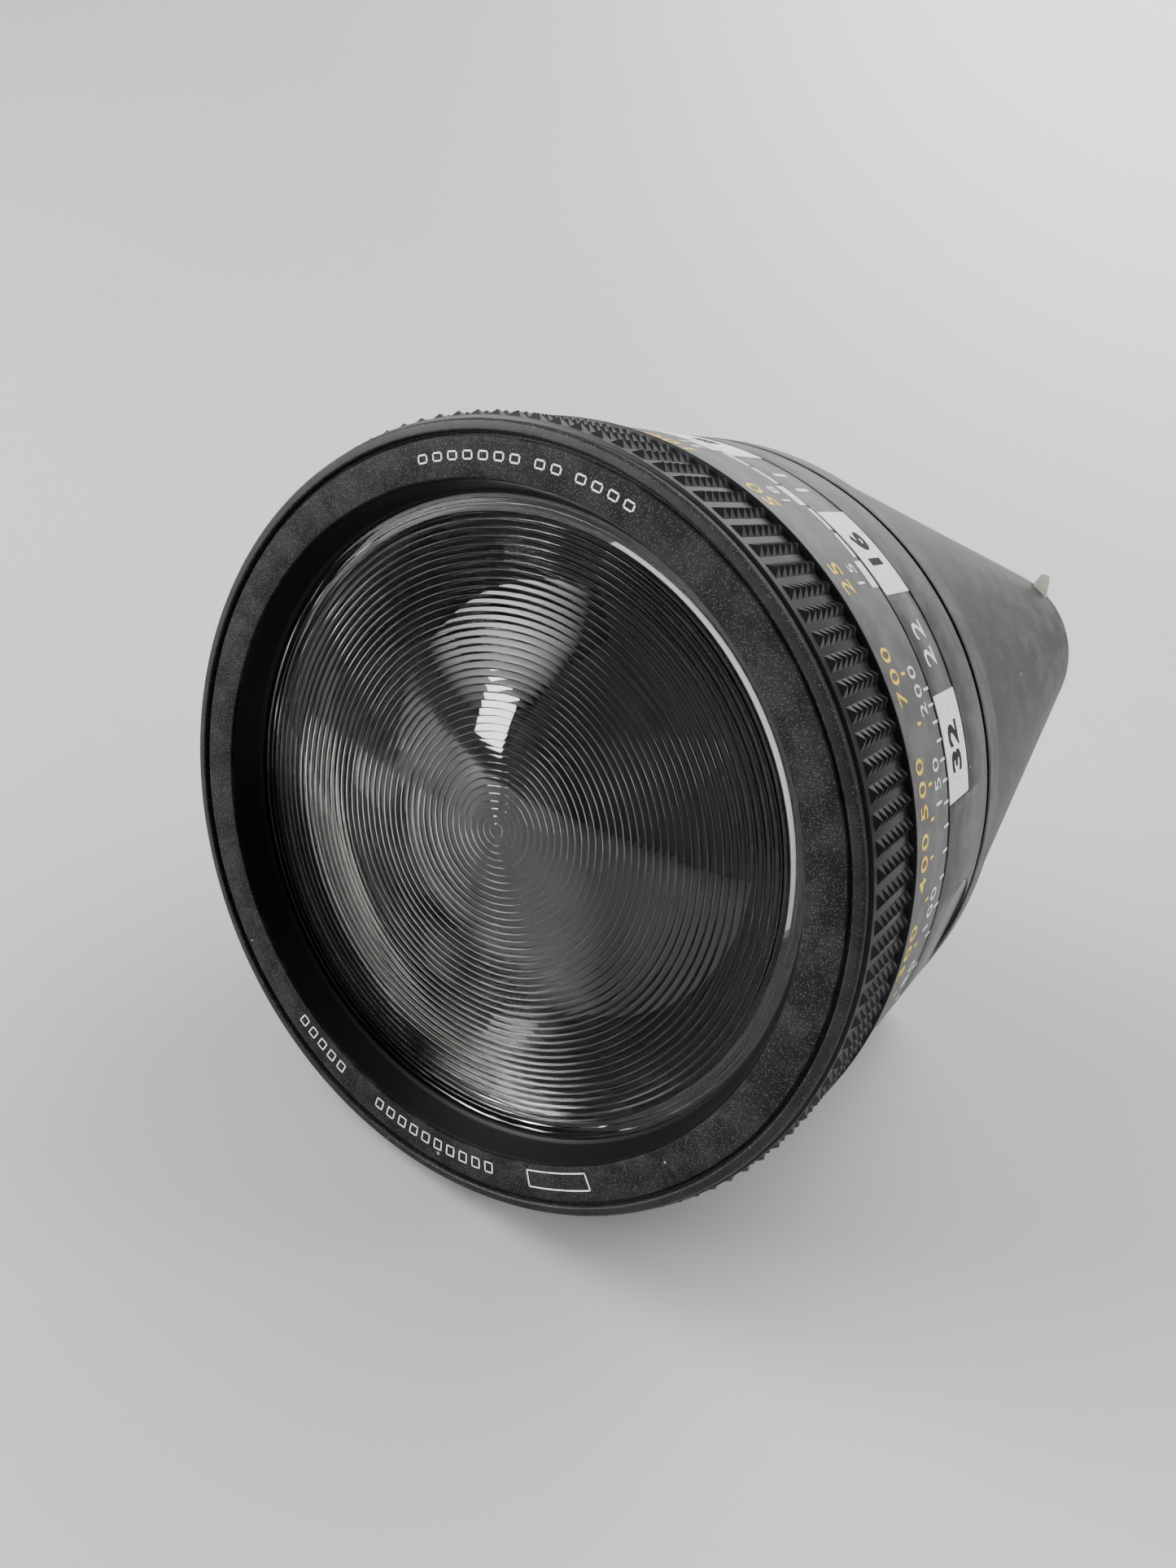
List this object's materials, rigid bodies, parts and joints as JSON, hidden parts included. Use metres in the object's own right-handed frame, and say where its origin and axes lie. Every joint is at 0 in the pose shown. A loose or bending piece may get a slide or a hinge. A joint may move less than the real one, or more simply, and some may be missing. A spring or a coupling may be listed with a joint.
{
  "type": "telephoto flash attachment",
  "caption": "Black round-fronted telephoto attachment for a hammerhead flash: stepped clear lens, turning distance and film-speed ring, funnel to a rounded socket.",
  "frame": {"origin": "middle of the socket mouth, on the light axis", "axes": "+Y back along the light axis and out of the socket, the lens faces -Y, +Z towards the side with the f-stop strip and the finger tabs, +X to the right seen from the lens side"},
  "size_m": [0.1148, 0.1064, 0.1148],
  "materials": {
    "housing_black": "fine matt moulded black",
    "body_black": "satin black with wear",
    "bezel_black": "fine sparkled texture",
    "name_black": "textured black",
    "cone_black": "deep satin black",
    "lens_clear": "clear moulded plastic",
    "ring_black": "satin black",
    "grip_black": "moulded points",
    "inner_black": "matt, ribbed",
    "print_white": "flat print",
    "strip_black": "satin",
    "plug_grey": "satin",
    "washer": "slick plastic",
    "steel": "plain",
    "pad_felt": "felt",
    "catch_grey": "satin grey"
  },
  "bodies": {
    "attachment": {"rear_housing": "housing_black", "body_ring": "body_black", "front_bezel": "bezel_black", "name_ring": "name_black", "front_cone": "cone_black", "fresnel_lens": "lens_clear", "lens_retainer": "inner_black", "inner_baffle": "inner_black", "glide_washer": "washer", "aperture_strip": "strip_black", "stop_blocks": "print_white", "speed_index": "print_white", "lock_ring": "cone_black", "side_plugs": "plug_grey", "clamp_screws": "steel", "stop_pin": "steel", "drag_ball": "steel", "drag_spring": "steel", "stop_frame": "inner_black", "frame_screws": "steel", "pads_wide": "pad_felt", "pads_tall": "pad_felt", "catch_pins": "steel", "spring_right": "steel", "spring_left": "steel"},
    "dial": {"setting_ring": "ring_black", "grip_sleeve": "grip_black"},
    "right_catch": {"catch_right": "catch_grey"},
    "left_catch": {"catch_left": "catch_grey"}
  },
  "joints": [
    {"name": "dial_turn", "type": "hinge", "parent": "attachment", "child": "dial", "pos_m": [0, -0.08, 0], "axis": [0, -1, 0], "range_deg": [-15.2, 91.2]},
    {"name": "right_catch_slide", "type": "slide", "parent": "attachment", "child": "right_catch", "axis": [0, 0, 1], "range_m": [0, 0.0012], "stiffness_N_per_m": 150, "deforming": ["spring_right"]},
    {"name": "left_catch_slide", "type": "slide", "parent": "attachment", "child": "left_catch", "axis": [0, 0, 1], "range_m": [0, 0.0012], "stiffness_N_per_m": 150, "deforming": ["spring_left"]}
  ]
}
